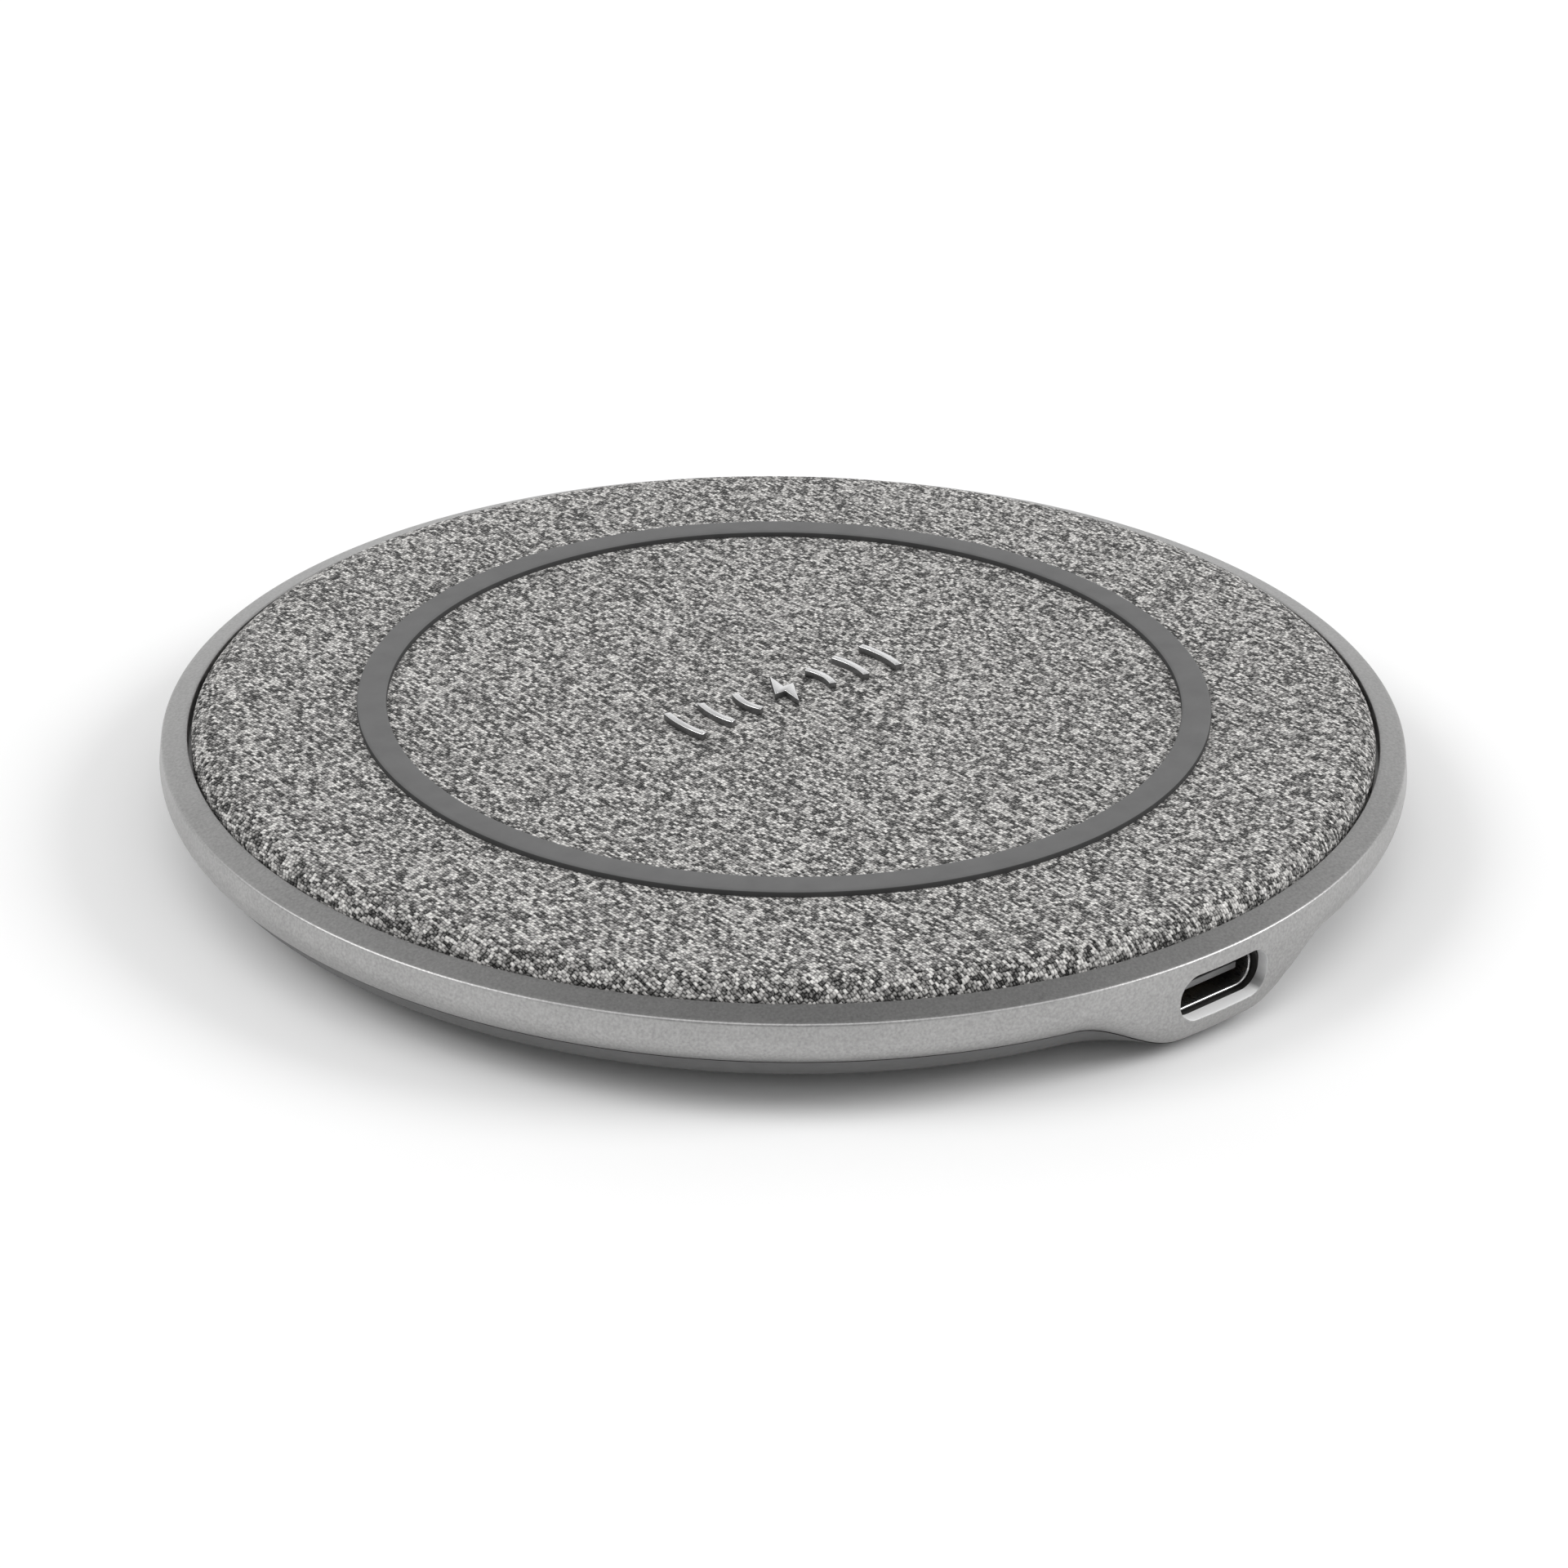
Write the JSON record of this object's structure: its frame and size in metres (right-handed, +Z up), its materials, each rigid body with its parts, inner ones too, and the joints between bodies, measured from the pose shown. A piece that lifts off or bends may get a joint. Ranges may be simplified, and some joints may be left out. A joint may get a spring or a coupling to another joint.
{
  "type": "wireless charging pad",
  "caption": "Round, low wireless charging pad with a fabric top, a raised silicone grip ring, a sloping metal rim, a small raised charging emblem and a USB-C inlet in a boss on its side.",
  "frame": {"origin": "centre of the underside, level with the bottom of the foot ring", "axes": "+Z up, away from the table; the USB-C inlet faces -Y; the emblem's long side runs along X"},
  "size_m": [0.1004, 0.1004, 0.0102],
  "materials": {
    "blasted_aluminium": "bead-blasted satin, fine grain",
    "melange_fabric": "grey melange weave of light and dark yarns",
    "grey_silicone": "matt silicone",
    "emblem_metal": "satin silver",
    "base_plastic": "fine spark-eroded texture",
    "foot_silicone": "matt silicone",
    "steel_screw": "plain machined",
    "black_plastic": "matt",
    "shell_steel": "bright drawn stainless steel",
    "tongue_plastic": "satin moulded",
    "carrier_plastic": "moulded, light texture",
    "adhesive_film": "tacky film",
    "copper_wire": null,
    "ferrite": "sintered ferrite ceramic",
    "foam": "closed-cell foam",
    "board_laminate": "solder mask over glass laminate",
    "thermal_silicone": "soft gap pad",
    "chip_resin": "moulded epoxy",
    "crystal_can": "plated can",
    "capacitor_ceramic": "ceramic with tinned ends",
    "clear_acrylic": "clear, polished ends"
  },
  "bodies": {
    "root": {"outer_frame": "blasted_aluminium", "fabric_cover": "melange_fabric", "silicone_ring": "grey_silicone", "emblem_bolt": "emblem_metal", "emblem_arc_right_1": "emblem_metal", "emblem_arc_right_2": "emblem_metal", "emblem_arc_right_3": "emblem_metal", "emblem_arc_left_1": "emblem_metal", "emblem_arc_left_2": "emblem_metal", "emblem_arc_left_3": "emblem_metal", "base_plate": "base_plastic", "foot_ring": "foot_silicone", "base_screw_1": "steel_screw", "base_screw_2": "steel_screw", "base_screw_3": "steel_screw", "base_screw_4": "steel_screw", "inlet_insert": "black_plastic", "usb_c_shell": "shell_steel", "usb_c_tongue": "tongue_plastic", "top_plate": "carrier_plastic", "adhesive_film": "adhesive_film", "transmit_coil": "copper_wire", "ferrite_sheet": "ferrite", "coil_thermistor": "chip_resin", "foam_spacer": "foam", "main_board": "board_laminate", "thermal_pad": "thermal_silicone", "sink_controller_chip": "chip_resin", "transmitter_chip": "chip_resin", "clock_crystal": "crystal_can", "filter_inductor": "ferrite", "input_capacitor_1": "capacitor_ceramic", "input_capacitor_2": "capacitor_ceramic", "bridge_mosfet_1": "chip_resin", "bridge_mosfet_2": "chip_resin", "bridge_mosfet_3": "chip_resin", "bridge_mosfet_4": "chip_resin", "resonant_capacitor_1": "capacitor_ceramic", "resonant_capacitor_2": "capacitor_ceramic", "resonant_capacitor_3": "capacitor_ceramic", "resonant_capacitor_4": "capacitor_ceramic", "status_led": "clear_acrylic", "light_pipe": "clear_acrylic"}
  },
  "joints": []
}
